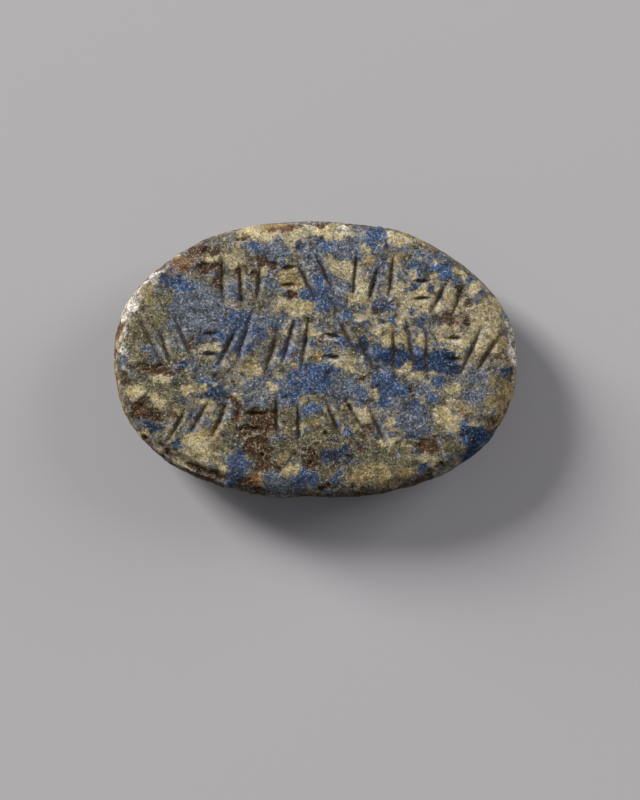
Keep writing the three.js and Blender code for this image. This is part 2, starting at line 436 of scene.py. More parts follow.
# %% Where the strokes stand
def uneven(mark, row_number):
    """A number from -1 to 1 that changes from mark to mark, by a sine of both numbers."""
    return np.sin(2.4 * mark + 1.7 * row_number)


def field_half_height(x):
    """Half the height of the field that may hold strokes, at a distance along the stone."""
    along = min(1, abs(x) / (LENGTH / 2 - FIELD_MARGIN))
    return (WIDTH / 2 - FIELD_MARGIN) * (1 - along**OUTLINE_FULLNESS) ** (1 / OUTLINE_FULLNESS)


def stroke_layout():
    """Every stroke as its middle x and y, length, depth and tilt in degrees.

    A row's marks stand a space apart along its line, less what draws a group together. A group's
    strokes lean alike, by a sine of the group's number, and keep inside the face's field.
    """
    strokes = []
    for number, (left, right, level, arch, slope, marks, stroke) in enumerate(ROWS):
        space = (right - left) * LENGTH / 2 / marks
        for mark in range(marks):
            hand = uneven(mark, number)
            gathered = GATHERING * ((GATHERED - 1) / 2 - mark % GATHERED)
            x = left * LENGTH / 2 + (mark + 0.5 + gathered) * space
            line = (level - arch * (x / (LENGTH / 2)) ** 2) * WIDTH / 2
            line += x * np.tan(np.radians(slope))
            if mark % DASHES_EVERY == DASHES_EVERY // 2:
                for side_of_line in (-0.5, 0.5):
                    y = line + side_of_line * DASH_SPREAD * stroke
                    tilt = slope + UNEVEN_LEAN * hand
                    strokes.append((x, y, DASH_LENGTH * space, DASH_DEPTH, tilt))
                continue
            group = mark // GATHERED + ROW_SWAY * number
            sway = np.sin(2 * np.pi * group / GROUPS_PER_SWAY)
            middle = line + UNEVEN_SIZE * stroke * uneven(mark + GATHERED, number)
            half = stroke / 2 * (1 + UNEVEN_SIZE * hand)
            top = min(field_half_height(x), middle + half)
            bottom = max(-field_half_height(x), middle - half)
            depth = STROKE_DEPTH * (1 - UNEVEN_SIZE * hand)
            tilt = 90 + LEAN * sway + UNEVEN_LEAN * hand
            strokes.append((x, (top + bottom) / 2, top - bottom, depth, tilt))
    return strokes


# %% How the strokes cut
def groove_depth(x, y, waviness):
    """How deep the strokes cut below the face, at points of it, and how much dirt and shade and how
    much fresh rock and highlight are painted on them.

    Each stroke's depth is its floor's parabola less the rise of its nearer wall, and where that
    is above the face there is no groove. Dirt fills the floor and the foot of the steep wall, and
    because that wall faces away from the main light, the same dark paints its shade. Fresh rock
    shows pale on the open wall, which faces the light, so it paints a highlight as well. Both thin
    out towards the stroke's ends.
    """
    deepest, dirt_and_shade, fresh_and_highlight = np.zeros_like(x), np.zeros_like(x), np.zeros_like(x)
    for middle_x, middle_y, stroke, depth, tilt in stroke_layout():
        turn = np.radians(tilt)
        along = (x - middle_x) * np.cos(turn) + (y - middle_y) * np.sin(turn)
        across = (y - middle_y) * np.cos(turn) - (x - middle_x) * np.sin(turn) + waviness
        flank = np.where(across > 0, STEEP_FLANK, OPEN_FLANK)
        rise = np.maximum(0, np.abs(across) - STROKE_FLOOR / 2) / np.tan(np.radians(flank))
        boat = np.clip(1 - (2 * along / stroke) ** 2, 0, 1)
        deepest = np.maximum(deepest, depth * boat - rise)
        # dirt with painted shade lies on the floor and the steep wall, which faces away from the
        # main light; fresh rock with a painted highlight lies on the open wall, which faces it
        dirt_and_shade = np.maximum(dirt_and_shade, boat - np.abs(across - DIRT_AND_SHADE_MIDDLE) / DIRT_AND_SHADE_REACH)
        fresh_and_highlight = np.maximum(fresh_and_highlight, np.sqrt(boat) - np.abs(across - FRESH_AND_HIGHLIGHT_MIDDLE) / FRESH_AND_HIGHLIGHT_REACH)
    return deepest, np.clip(COVER * dirt_and_shade, 0, 1), np.clip(COVER * fresh_and_highlight, 0, 1)


print(len(stroke_layout()), "strokes")

# %% [markdown]
# ## What the rock is made of
#
# Lapis is a mix of minerals. This one has deep blue lazurite in clots, blue dust in pale calcite
# that looks grey, and yellowish cream calcite. Ochre, rust with a few orange spots, and dark earth
# have soaked into its hollows, and chalky white calcite stands in a few spots. The chalky white
# also paints highlights where the light strikes the shoulder at the upper left, the top and the
# right, along the ridge of a flake at the lower left, and beside one stroke. The dark earth also
# paints shade in that flake's trough and along the lower right rim, and on the flake's outer wall
# it is stain and painted shade together. An image of the rock could be laid over the face, but it
# would blur close up. Instead each pigment has its own listed places: an area's middle and its two
# radii in millimetres, and a tilt in degrees if it has one. Zones are broad and weak, patches are
# small and strong, and stains run along the rim.

# %% Pigments
# linear base colours
PIGMENTS = {
    "navy": (0.003, 0.022, 0.068),
    "blue": (0.016, 0.052, 0.138),
    "grey_blue": (0.07, 0.09, 0.126),
    "drab": (0.084, 0.074, 0.032),
    # the chalky white is both white calcite and the colour of painted highlights on the shoulder
    "chalk_and_highlight": (0.41, 0.38, 0.34),
    "cream": (0.315, 0.264, 0.147),
    "ochre": (0.19, 0.138, 0.05),
    "rust": (0.115, 0.05, 0.015),
    "orange": (0.21, 0.088, 0.018),
    # the dark earth is a real stain, and also paints shade in the lower left flake and along the
    # lower right rim
    "earth_and_shade": (0.03, 0.012, 0.005),
}
# how readily a pigment shows where nothing was placed
READINESS = {
    "navy": -0.45,
    "blue": -0.3,
    "grey_blue": -0.2,
    "drab": -0.12,
    "chalk_and_highlight": -0.9,
    "cream": -0.22,
    "ochre": -0.55,
    "rust": -0.75,
    "orange": -0.95,
    "earth_and_shade": -0.4,
}

# %% Zones
ZONES = {
    "navy": [(5.2, -0.1, 2.1, 0.9), (7.8, -4.0, 1.5, 1.2)],
    "blue": [
        (-4.2, 1.6, 2.8, 1.3), (0.2, -0.9, 2.6, 0.9), (3.2, -1.4, 2.0, 1.0), (0.3, 3.4, 1.3, 1.3),
        (-0.5, -5.7, 1.8, 0.8), (6.5, 4.2, 1.2, 0.6), (3.0, 5.9, 0.8, 0.6), (-1.2, -1.7, 1.2, 0.5),
        (-2.4, 5.3, 1.2, 0.6),
    ],
    "grey_blue": [
        (-5.8, 2.3, 2.0, 1.5), (-6.8, 0.3, 1.6, 0.6), (4.6, -3.0, 1.6, 1.0), (3.6, 3.8, 1.3, 1.1),
        (7.3, -1.4, 1.4, 0.9), (-2.0, -1.2, 2.0, 1.0), (5.5, 4.9, 1.2, 0.5), (0.9, 5.4, 1.2, 0.5),
    ],
    "drab": [
        (-7.6, -1.5, 2.2, 2.0), (-1.5, -3.4, 5.0, 1.6), (-5.6, 0.1, 1.6, 0.7),
        (-7.0, 3.9, 1.0, 0.6), (2.5, -4.9, 3.5, 1.3), (-8.2, 1.8, 1.2, 1.2), (-4.0, 5.0, 2.5, 1.0),
    ],
    # a painted highlight over the upper left shoulder, where the main light strikes
    "chalk_and_highlight": [(-9.3, 2.8, 0.7, 1.9, -22)],
    "cream": [
        (1.5, 4.2, 1.4, 1.0), (4.8, 3.0, 2.2, 1.6), (7.6, 1.6, 2.0, 1.6), (-6.0, -4.4, 1.8, 1.1),
        (-2.5, 6.2, 1.7, 0.5), (6.3, -2.8, 1.0, 0.6), (-0.6, 2.5, 1.2, 0.5), (0.6, 6.4, 1.4, 0.4),
        (-2.9, -0.1, 0.6, 0.7),
    ],
    "ochre": [(3.2, -5.6, 2.2, 0.9), (-1.4, 3.9, 0.9, 0.7), (9.1, -1.6, 0.6, 1.4)],
    "rust": [(9.2, -2.0, 0.35, 1.2), (-9.8, 0.0, 0.35, 2.2)],
    "earth_and_shade": [
        (-2.8, -3.3, 1.3, 1.2), (-5.3, 4.9, 0.9, 0.7), (-8.4, -2.4, 1.1, 0.6),
        (-8.2, -0.4, 1.2, 0.4), (-2.4, -5.2, 0.8, 0.8), (1.2, -4.9, 1.6, 0.6),
    ],
}
print(sum(len(zones) for zones in ZONES.values()), "zones")

# %% Patches
PATCHES = {
    "navy": [
        (-7.3, 4.1, 0.45, 0.42), (3.6, 0.1, 0.47, 0.42), (5.1, -0.09, 0.37, 0.32),
        (6.11, 0.09, 0.46, 0.37), (4.3, 0.25, 0.5, 0.27), (5.6, 0.1, 0.5, 0.32),
        (5.84, -0.45, 0.32, 0.32), (6.66, -0.45, 0.37, 0.27), (2.2, 0.58, 0.28, 0.47),
        (6.66, 4.69, 0.27, 0.18), (3.55, 5.56, 0.23, 0.18), (9.45, -0.45, 0.27, 0.23),
        (-6.98, -4.61, 0.19, 0.28), (-6.9, 3.95, 0.4, 0.35), (3.1, -0.6, 0.3, 0.22),
        (1.16, -4.75, 0.62, 0.42), (-0.35, -4.14, 0.24, 0.14), (8.3, -3.74, 0.37, 0.37),
        (7.94, -3.51, 0.55, 0.37), (7.76, -4.33, 0.46, 0.32), (7.44, -4.65, 0.46, 0.27),
        (-8.02, -3.34, 0.47, 0.28), (-4.0, -5.98, 0.7, 0.28), (-0.78, 5.69, 0.24, 0.19),
        (5.65, 3.37, 0.18, 0.18), (-3.44, -4.42, 0.28, 0.14), (-4.95, -1.69, 0.6, 0.24),
        (-5.3, 0.05, 0.45, 0.2), (-6.4, 0.0, 0.4, 0.18),
    ],
    "blue": [
        (2.86, 6.12, 0.42, 0.42), (0.8, 5.6, 0.5, 0.3), (2.4, 5.75, 0.3, 0.2),
        (4.9, 4.4, 0.35, 0.25), (2.81, 5.46, 0.24, 0.19), (-1.58, 4.56, 0.24, 0.19),
        (0.26, 4.04, 0.38, 0.28), (-0.07, 3.28, 0.42, 0.42), (0.64, 2.81, 0.38, 0.42),
        (1.4, 2.9, 0.28, 0.24), (1.49, 2.29, 0.28, 0.19), (-3.06, 5.36, 0.57, 0.28),
        (-6.37, 3.57, 0.85, 0.42), (-3.3, 1.8, 0.7, 0.57), (-3.53, 0.58, 0.38, 0.38),
        (-4.71, 1.19, 0.85, 0.24), (-5.14, 0.34, 0.38, 0.24), (-5.14, -1.08, 0.6, 0.12),
        (-8.02, 0.67, 0.38, 0.33), (4.74, 5.1, 0.18, 0.12), (6.39, 4.33, 0.41, 0.32),
        (7.66, 3.96, 0.27, 0.23), (8.21, 3.23, 0.18, 0.18), (7.48, 3.0, 0.14, 0.09),
        (4.74, 3.69, 0.41, 0.23), (5.1, 4.14, 0.23, 0.18), (3.78, 2.54, 0.27, 0.37),
        (4.74, 2.41, 0.23, 0.23), (5.1, 1.86, 0.27, 0.27), (3.64, 1.81, 0.27, 0.18),
        (3.38, 2.67, 0.57, 0.38), (-0.97, 1.67, 0.19, 0.14), (-1.68, 1.67, 0.33, 0.19),
        (-1.63, 0.39, 0.28, 0.42), (2.29, 1.86, 0.28, 0.24), (1.4, 0.91, 0.38, 0.33),
        (0.59, 0.53, 0.19, 0.14), (2.58, -0.08, 0.28, 0.28), (2.9, 0.2, 0.35, 0.45),
        (-0.9, -1.5, 0.8, 0.3), (3.3, -0.8, 0.65, 0.42), (3.5, -1.0, 0.5, 0.35),
        (-0.21, -1.03, 0.8, 0.42), (0.07, -0.37, 1.2, 0.24), (-0.31, -2.42, 0.55, 0.26),
        (3.38, -1.69, 0.38, 0.24), (3.24, -2.16, 0.28, 0.24), (4.88, 0.46, 0.32, 0.27),
        (6.16, -1.19, 0.32, 0.27), (5.65, -1.09, 0.27, 0.14), (3.64, -1.0, 0.37, 0.23),
        (4.24, -1.46, 0.37, 0.37), (4.7, -2.24, 0.41, 0.27), (-3.72, -5.13, 0.47, 0.52),
        (-6.94, -3.9, 0.28, 0.24), (1.44, -3.57, 0.24, 0.19), (0.92, -3.05, 0.12, 0.28),
        (1.54, -4.66, 0.19, 0.19), (-0.4, -5.7, 0.52, 0.33), (0.92, -5.75, 0.42, 0.24),
        (5.52, -3.51, 0.23, 0.18), (4.83, -3.69, 0.37, 0.18), (7.3, -3.05, 0.23, 0.23),
        (7.3, -3.92, 0.37, 0.27), (5.2, -5.43, 0.37, 0.23), (2.34, -4.19, 0.19, 0.14),
        (5.75, -2.0, 0.27, 0.27),
    ],
    "grey_blue": [
        (-5.99, 2.43, 1.2, 1.2), (-4.48, 3.38, 0.38, 0.28), (-4.3, 1.5, 0.5, 0.3),
        (7.9, 2.9, 0.3, 0.22), (-2.29, 5.27, 0.95, 0.5), (0.07, 5.13, 0.57, 0.47),
        (1.5, 5.45, 0.5, 0.35), (1.9, 6.1, 0.3, 0.2), (0.03, 4.51, 0.28, 0.24),
        (1.02, 3.47, 0.6, 0.47), (2.86, 4.32, 0.42, 0.47), (-2.39, 3.76, 0.28, 0.28),
        (-1.82, 3.43, 0.57, 0.24), (-2.76, 1.96, 0.7, 0.38), (5.38, 5.1, 0.69, 0.23),
        (5.47, 2.13, 0.27, 0.27), (-6.37, 1.76, 0.7, 0.7), (-5.66, -0.18, 0.42, 0.38),
        (-4.9, -0.1, 0.6, 0.3), (-6.65, -2.16, 0.28, 0.19), (-3.06, -2.16, 0.33, 0.28),
        (-1.35, -1.22, 0.47, 0.28), (-2.86, -1.22, 0.47, 0.28), (-2.86, -2.02, 0.38, 0.28),
        (-1.72, -1.97, 0.38, 0.33), (1.02, -1.31, 0.85, 0.47), (-0.12, 0.72, 0.28, 0.28),
        (5.38, -1.6, 0.32, 0.18), (7.39, 0.55, 0.32, 0.27), (8.21, -0.73, 0.37, 0.37),
        (7.57, -1.55, 0.32, 0.27), (8.67, -1.6, 0.41, 0.27), (9.17, 2.1, 0.18, 0.23),
        (-4.52, -2.77, 0.24, 0.24), (-0.68, -3.62, 0.38, 0.19), (-1.72, -3.81, 0.28, 0.19),
        (-1.82, -6.08, 0.7, 0.52), (-0.97, -6.41, 0.7, 0.28), (0.59, -6.5, 0.38, 0.14),
        (3.05, -3.19, 0.28, 0.28), (4.56, -3.01, 0.69, 0.37), (3.52, -4.75, 0.28, 0.19),
        (4.05, -4.65, 0.23, 0.14),
    ],
    "drab": [
        (-8.9, 1.3, 0.5, 0.9), (-8.6, 0.1, 0.5, 0.25), (3.3, -4.6, 0.8, 0.3),
        (-7.4, 3.1, 0.6, 0.4), (-7.6, 2.2, 0.5, 0.35), (-1.0, -2.9, 0.6, 0.3),
        (4.6, -5.0, 0.6, 0.25), (6.7, -4.2, 0.6, 0.45), (5.9, -3.4, 0.4, 0.3),
        (-0.9, -4.1, 0.7, 0.4), (-6.9, 0.3, 0.6, 0.3), (-5.2, 0.1, 0.5, 0.3),
    ],
    # painted highlights on the lit shoulder: the first three, (-9.35, 0.9), the four along the top
    # rim and (9.75, 0.6); (-2.02, 0.03) is a painted highlight on a stroke's open wall, and the
    # rest are white calcite
    "chalk_and_highlight": [
        (-9.5, 2.5, 0.24, 0.75, -14), (-9.05, 3.5, 0.3, 0.7, -38), (-8.2, 4.35, 0.5, 0.25, 35),
        (-3.0, 6.4, 0.5, 0.2), (1.5, 6.4, 0.8, 0.22), (-0.2, 6.4, 0.5, 0.22),
        (3.6, 6.1, 0.4, 0.15), (6.75, 3.3, 0.2, 0.3), (-2.02, 0.03, 0.6, 0.12, 72),
        (9.75, 0.6, 0.12, 0.8), (-9.35, 0.9, 0.16, 0.6), (5.15, 4.2, 0.15, 0.1),
        (-2.2, 3.9, 0.18, 0.15), (-1.0, 3.15, 0.25, 0.12), (-7.6, -2.85, 0.3, 0.1, 30),
        (2.2, -0.05, 0.12, 0.25), (7.95, 1.9, 0.3, 0.2), (6.6, 3.6, 0.25, 0.3),
    ],
    "cream": [
        (-3.0, 6.35, 0.57, 0.33), (-0.78, 6.3, 0.3, 0.2), (0.3, 6.3, 0.5, 0.2),
        (-6.84, 5.13, 0.28, 0.19), (-5.19, 5.03, 0.47, 0.28), (-4.1, 4.89, 0.57, 0.38),
        (1.16, 4.4, 0.57, 0.5), (-0.9, 5.95, 0.5, 0.25), (2.2, 5.6, 0.4, 0.2),
        (0.9, 6.0, 0.5, 0.25), (2.34, 3.24, 0.38, 0.42), (-0.97, 2.62, 0.8, 0.28),
        (2.44, 2.15, 0.47, 0.24), (4.1, 5.97, 0.6, 0.37), (4.8, 4.1, 0.23, 0.27),
        (6.02, 4.69, 0.18, 0.14), (7.16, 4.33, 0.27, 0.18), (6.75, 3.14, 0.27, 0.46),
        (7.76, 3.5, 0.27, 0.37), (4.1, 3.6, 0.27, 0.37), (4.92, 3.14, 0.41, 0.37),
        (6.07, 2.73, 0.23, 0.23), (8.85, 2.82, 0.27, 0.41), (8.9, 1.9, 0.45, 0.7),
        (-9.68, 0.96, 0.28, 0.28), (-4.95, 0.58, 0.66, 0.12), (-7.69, -0.93, 0.6, 0.19),
        (-8.73, -1.6, 0.8, 0.33), (-5.99, -1.41, 0.57, 0.24), (-5.38, -2.25, 0.4, 0.24),
        (-0.78, 2.33, 0.6, 0.19), (-0.31, 1.43, 0.38, 0.24), (1.25, -0.13, 0.47, 0.24),
        (2.34, 2.04, 0.38, 0.19), (3.15, 1.62, 0.6, 0.24), (3.52, 1.02, 0.42, 0.38),
        (2.1, -0.27, 0.19, 0.28), (-1.82, -0.6, 0.28, 0.19), (-3.1, -0.55, 0.4, 0.3),
        (-2.15, -1.31, 0.38, 0.24), (2.96, -1.6, 0.14, 0.28), (2.34, -2.6, 0.35, 0.42),
        (4.28, 1.1, 0.32, 0.27), (5.2, 1.05, 0.27, 0.41), (6.11, 1.19, 0.37, 0.41),
        (6.93, 1.05, 0.41, 0.27), (7.89, 1.28, 0.6, 0.5), (4.37, -0.27, 0.41, 0.27),
        (5.15, -0.82, 0.46, 0.18), (6.84, -1.46, 0.41, 0.27), (8.17, 2.29, 0.27, 0.27),
        (-6.04, -4.38, 0.85, 0.7), (-7.79, -2.01, 0.38, 0.28), (-4.62, -5.23, 0.38, 0.24),
        (-8.54, -3.7, 0.19, 0.19), (-0.78, -3.15, 0.28, 0.28), (1.87, -3.29, 0.38, 0.28),
        (3.62, -4.0, 0.38, 0.28), (-1.2, -5.32, 0.42, 0.19), (6.2, -2.78, 0.37, 0.37),
        (6.8, -3.24, 0.3, 0.2), (5.65, -5.07, 0.32, 0.23), (5.1, -4.79, 0.32, 0.23),
        (3.6, -5.61, 0.23, 0.27), (3.64, -3.1, 0.37, 0.27), (7.85, -2.96, 0.23, 0.14),
        (3.46, -4.29, 0.46, 0.27),
    ],
    "ochre": [
        (-1.25, 3.85, 0.7, 0.6), (2.53, 5.03, 0.38, 0.24), (4.0, 4.9, 0.4, 0.27),
        (8.35, 2.5, 0.4, 0.3), (7.7, 2.18, 0.37, 0.23), (-3.34, -0.32, 0.38, 0.24),
        (-9.87, -0.22, 0.14, 0.24), (-0.26, 0.3, 0.42, 0.28), (9.04, 0.87, 0.41, 0.46),
        (6.93, -2.19, 0.6, 0.23), (-5.42, -3.76, 0.6, 0.33), (-4.76, -3.1, 0.28, 0.33),
        (-1.58, -4.66, 0.52, 0.28, 25), (0.07, -3.05, 0.38, 0.28), (-1.35, -3.15, 0.28, 0.38),
        (-5.2, -4.3, 0.6, 0.4), (-5.0, -3.7, 0.5, 0.3), (-0.9, -3.6, 0.4, 0.2),
        (0.2, -4.2, 0.4, 0.2), (-4.6, -5.4, 0.4, 0.2), (3.2, -6.0, 0.5, 0.2),
        (0.83, -3.57, 0.33, 0.19), (3.15, -5.37, 0.52, 0.28), (3.38, -5.84, 0.47, 0.28),
        (0.31, -5.46, 0.28, 0.28), (2.44, -5.79, 0.6, 0.38), (-3.14, -3.15, 0.24, 0.14),
        (4.51, -4.33, 0.37, 0.27), (4.15, -5.48, 0.46, 0.41), (3.46, -6.2, 0.69, 0.27),
        (-8.07, 3.19, 0.42, 0.42), (-8.7, 0.1, 0.3, 0.25), (-0.64, -1.78, 0.7, 0.19),
        (-2.76, -0.74, 0.28, 0.1), (8.49, -1.83, 0.23, 0.23), (9.1, -1.85, 0.4, 0.9),
    ],
    "rust": [
        (-6.5, 4.78, 0.55, 0.34), (-3.44, 4.42, 0.28, 0.28), (-1.58, 6.55, 0.95, 0.17),
        (-9.54, 1.77, 0.19, 0.24), (5.38, 5.65, 0.41, 0.12, -30), (7.16, 4.69, 0.23, 0.12),
        (-9.68, 1.48, 0.19, 0.38), (-9.94, 0.44, 0.1, 0.33), (-9.82, -0.93, 0.12, 0.14),
        (-9.44, -2.07, 0.14, 0.24), (-7.19, -2.67, 0.3, 0.42), (-4.08, -2.9, 0.19, 0.47),
        (9.26, 0.23, 0.27, 0.18), (4.15, -1.23, 0.23, 0.09), (-3.44, -6.08, 0.38, 0.24),
        (-6.8, 4.6, 0.6, 0.36), (-6.1, 5.0, 0.4, 0.2), (0.92, -5.32, 0.52, 0.12),
        (0.45, -3.76, 0.24, 0.14), (2.62, -3.62, 0.28, 0.5), (2.9, -4.97, 0.4, 0.24, 50),
        (1.73, -4.23, 0.14, 0.14), (3.9, -4.28, 0.24, 0.07), (5.52, -3.97, 0.2, 0.15),
        (8.4, -2.78, 0.2, 0.15), (9.0, -2.7, 0.2, 0.4), (-8.35, -4.09, 0.1, 0.28),
    ],
    "orange": [
        (0.42, -3.74, 0.24, 0.16), (-6.35, 4.68, 0.3, 0.14), (-1.7, 6.42, 0.8, 0.16),
        (-3.3, 4.35, 0.18, 0.14), (9.2, -1.75, 0.2, 0.6, -12), (-2.95, -5.95, 0.55, 0.42),
        (-9.82, 0.5, 0.1, 0.6), (1.25, -3.3, 0.2, 0.08), (-3.4, -0.75, 0.2, 0.1),
    ],
    # (4.8, -6.1) paints the shade along the lower right rim; the rest are real earth stains
    "earth_and_shade": [
        (-5.61, 5.36, 0.57, 0.28), (-5.09, 4.47, 0.52, 0.28), (-4.86, 3.9, 0.2, 0.35),
        (-2.92, 4.23, 0.15, 0.15), (-8.5, 2.34, 0.21, 0.19), (-3.53, 6.07, 0.33, 0.19),
        (-2.72, 4.7, 0.28, 0.24), (-2.29, 4.51, 0.28, 0.14), (0.26, 6.78, 0.19, 0.1),
        (-1.25, 3.14, 0.38, 0.19), (-0.12, 5.36, 0.28, 0.14), (3.05, 2.53, 0.24, 0.28),
        (4.92, 5.47, 0.27, 0.09), (5.84, 5.4, 0.23, 0.07), (7.16, 3.5, 0.14, 0.27),
        (6.7, 2.05, 0.5, 0.42), (7.57, 2.64, 0.27, 0.18), (4.1, 2.77, 0.14, 0.18),
        (-8.12, -0.32, 0.76, 0.24), (-7.22, -0.6, 0.47, 0.14), (-6.65, -0.27, 0.19, 0.24),
        (-9.25, -1.03, 0.28, 0.28), (-8.54, -2.33, 0.5, 0.36), (-8.16, -2.72, 0.28, 0.19),
        (-4.05, -2.07, 0.24, 0.38), (-2.81, -2.7, 0.7, 0.26), (-2.29, -3.24, 0.28, 0.47),
        (-3.3, -3.53, 0.47, 0.24), (-2.29, -4.14, 0.33, 0.28), (-2.9, -4.3, 0.4, 0.3),
        (-2.39, -5.13, 0.38, 0.38), (-1.87, -5.23, 0.19, 0.14), (-6.04, 0.72, 0.14, 0.14),
        (2.1, -0.74, 0.19, 0.14), (3.19, -1.22, 0.2, 0.15), (0.45, -0.6, 0.2, 0.08),
        (9.58, -1.05, 0.1, 0.23), (4.37, -2.47, 0.12, 0.12), (4.74, -1.28, 0.27, 0.18),
        (-0.1, -4.75, 0.42, 0.28), (-0.16, -5.27, 0.28, 0.19), (2.39, -4.47, 0.24, 0.24),
        (-0.92, -4.52, 0.14, 0.1), (0.64, -6.17, 0.38, 0.14), (-2.8, -6.5, 0.4, 0.15),
        (5.52, -4.29, 0.32, 0.32), (6.07, -5.25, 0.27, 0.12), (5.58, -5.75, 0.16, 0.12),
        (8.67, -3.05, 0.27, 0.27), (8.62, -3.47, 0.27, 0.18), (3.4, -5.39, 0.14, 0.12),
        (4.8, -6.1, 0.69, 0.12), (-5.66, -5.42, 0.19, 0.14),
    ],
}
print(sum(len(patches) for patches in PATCHES.values()), "patches")

# %% Stains along the rim
# a stain's stretch of rim in degrees, as its middle and reach, and its inset and breadth in mm
RIM_STAINS = {
    "rust": [(184, 22, 0.0, 0.14), (-14, 20, 0.0, 0.2), (-12, 16, 0.4, 0.2), (268, 16, 0.1, 0.2)],
    # the two at 221 and 222 degrees paint shade: in the lower left flake's trough, and together
    # with a brown stain on its outer wall; the rest are real stains
    "earth_and_shade": [
        (222, 34, 0.02, 0.46), (150, 22, 0.0, 0.14), (285, 30, 0.0, 0.4), (70, 16, 0.0, 0.12),
        (221, 22, 0.6, 0.16),
    ],
    "drab": [(36, 18, 0.0, 0.16)],
    "ochre": [
        (-12, 20, 0.35, 0.4), (180, 24, 0.2, 0.25), (52, 16, 0.05, 0.2), (104, 12, 0.15, 0.2),
    ],
    # all four paint highlights: a thin line along the lower left flake's ridge, the lit upper left
    # shoulder, and the right rim
    "chalk_and_highlight": [
        (222, 24, 0.36, 0.08), (163, 19, 0.34, 0.5), (153, 12, 0.3, 0.35), (6, 28, 0.2, 0.32),
    ],
}
print(sum(len(stains) for stains in RIM_STAINS.values()), "stains along the rim")

# %% [markdown]
# ## How the pigments compete
#
# Painted spots with soft borders would look airbrushed. In rock each crystal is of one mineral, and
# a border is ragged. So at every point the pigments compete, and the strongest takes most of the
# colour. Noise shifts the places, which makes borders wander, and other noise shifts the strengths,
# so that crystals of one pigment stand in another.

# %% How strong a place is
PATCH_SPREAD = 1.3
DARK_PIGMENTS = ("navy", "rust", "earth_and_shade")
DARK_PATCH_SPREAD = 1.5
PATCH_WEIGHT = 1.15
ZONE_WEIGHT = 0.48
RIM_WEIGHT = 1.1
# the smaller it is, the less of a point's colour the weaker pigments get
COMPETITION = 0.13


def area_strength(points, areas, spread):
    """1 at the middle of an area, falling with the square of the distance to 0 at its border."""
    strength = np.zeros(len(points))
    for x, y, reach_x, reach_y, *tilt in areas:
        turn = np.radians(sum(tilt))
        along = (points[:, 0] - x) * np.cos(turn) + (points[:, 1] - y) * np.sin(turn)
        across = (points[:, 1] - y) * np.cos(turn) - (points[:, 0] - x) * np.sin(turn)
        distance = (along / reach_x) ** 2 + (across / reach_y) ** 2
        strength = np.maximum(strength, 1 - distance / spread**2)
    return strength


def rim_strength(points, stains):
    """1 in the middle of a stain that runs along the rim, falling to 0 at its borders."""
    angle = np.arctan2(points[:, 1], points[:, 0])
    inset = girdle_radius(angle) - np.hypot(points[:, 0], points[:, 1])
    strength = np.zeros(len(points))
    for middle, reach, inset_middle, breadth in stains:
        nearness = 1 - ((inset - inset_middle) / breadth) ** 2
        strength = np.maximum(strength, nearness * np.sqrt(stretch(angle, middle, reach)))
    return strength


# %% Competition
# each noise's feature size in mm and strength: first those that shift places, then those that
# shift strengths
PLACE_NOISE = ((1.3, 0.3), (0.5, 0.2), (0.24, 0.12))
STRENGTH_NOISE = ((1.1, 0.28), (0.5, 0.4), (0.24, 0.34), (0.14, 0.12))
PLACE_SEEDS = (11, 21)
STRENGTH_SEED = 31
SEEDS_APART = 10
# stains on the rim are shifted less than the rest, because they follow an edge
RIM_SHIFT = 0.3


def layered_noise(points, layers, seed):
    """The sum of noises of several sizes, each with its own strength."""
    return sum(
        strength * gradient_noise(points, size, seed + layer)
        for layer, (size, strength) in enumerate(layers)
    )


def pigment_shares(points):
    """Each pigment's share of the colour at each point, as one row a point.

    A pigment's claim is its readiness, plus its zones, patches and stains on the upper side, plus
    noise. The shares are the claims' exponentials over their sum, so the strongest takes most.
    """
    shift = np.stack([layered_noise(points, PLACE_NOISE, seed) for seed in PLACE_SEEDS], axis=1)
    ragged = points[:, :2] + shift
    nearly = points[:, :2] + RIM_SHIFT * shift
    upper_side = smooth_step(points[:, 2], 1.4, 2.2)
    claims = []
    for number, name in enumerate(PIGMENTS):
        spread = DARK_PATCH_SPREAD if name in DARK_PIGMENTS else PATCH_SPREAD
        placed = (
            ZONE_WEIGHT * area_strength(ragged, ZONES.get(name, []), 1)
            + PATCH_WEIGHT * area_strength(ragged, PATCHES[name], spread)
            + RIM_WEIGHT * rim_strength(nearly, RIM_STAINS.get(name, []))
        )
        noise = layered_noise(points, STRENGTH_NOISE, STRENGTH_SEED + SEEDS_APART * number)
        claims.append(READINESS[name] + upper_side * placed + noise)
    weights = np.exp(np.array(claims).T / COMPETITION)
    return weights / weights.sum(axis=1, keepdims=True)


def share_of(*names):
    """The share of one pigment, or the sum of several, at each point."""
    return sum(shares[:, list(PIGMENTS).index(name)] for name in names)


shares = pigment_shares(plain)
rock_colour = shares @ np.array(list(PIGMENTS.values()))
# earthiness also counts the painted shade of the earth pigment in the lower left flake and along
# the lower right rim
earthiness = share_of("earth_and_shade", "rust")
on_face = plain[:, 2] > GIRDLE_HEIGHT
average = shares[on_face].mean(axis=0).round(2)
print("the face's make-up:", dict(zip(PIGMENTS, average.tolist())))

# %% [markdown]
# ## Wear
#
# Wear only takes stone away, so every kind of it lowers the surface below the cut form: waviness
# of two sizes, a grain of crystals about 0.2 mm across that is rougher in the earth, pits where
# soft grains fell out, deepest in the earthy patches, and small flakes off the rim. A displacement
# modifier could do it, but the colours have to know where the hollows are. So the depths are worked
# out as numbers, and act along the surface's own direction, which Blender works out from the plain
# mesh first. The strokes are cut straight down.

# %% The plain mesh
stone_mesh = bpy.data.meshes.new("stone")
stone_mesh.from_pydata((plain * MM).tolist(), [], quads.tolist() + band.tolist())
outward = np.empty(3 * len(plain), dtype=np.float32)
stone_mesh.vertex_normals.foreach_get("vector", outward)
outward = outward.reshape(-1, 3).astype(float)
print("the middle of the face looks along", outward[len(face) // 2].round(2).tolist())

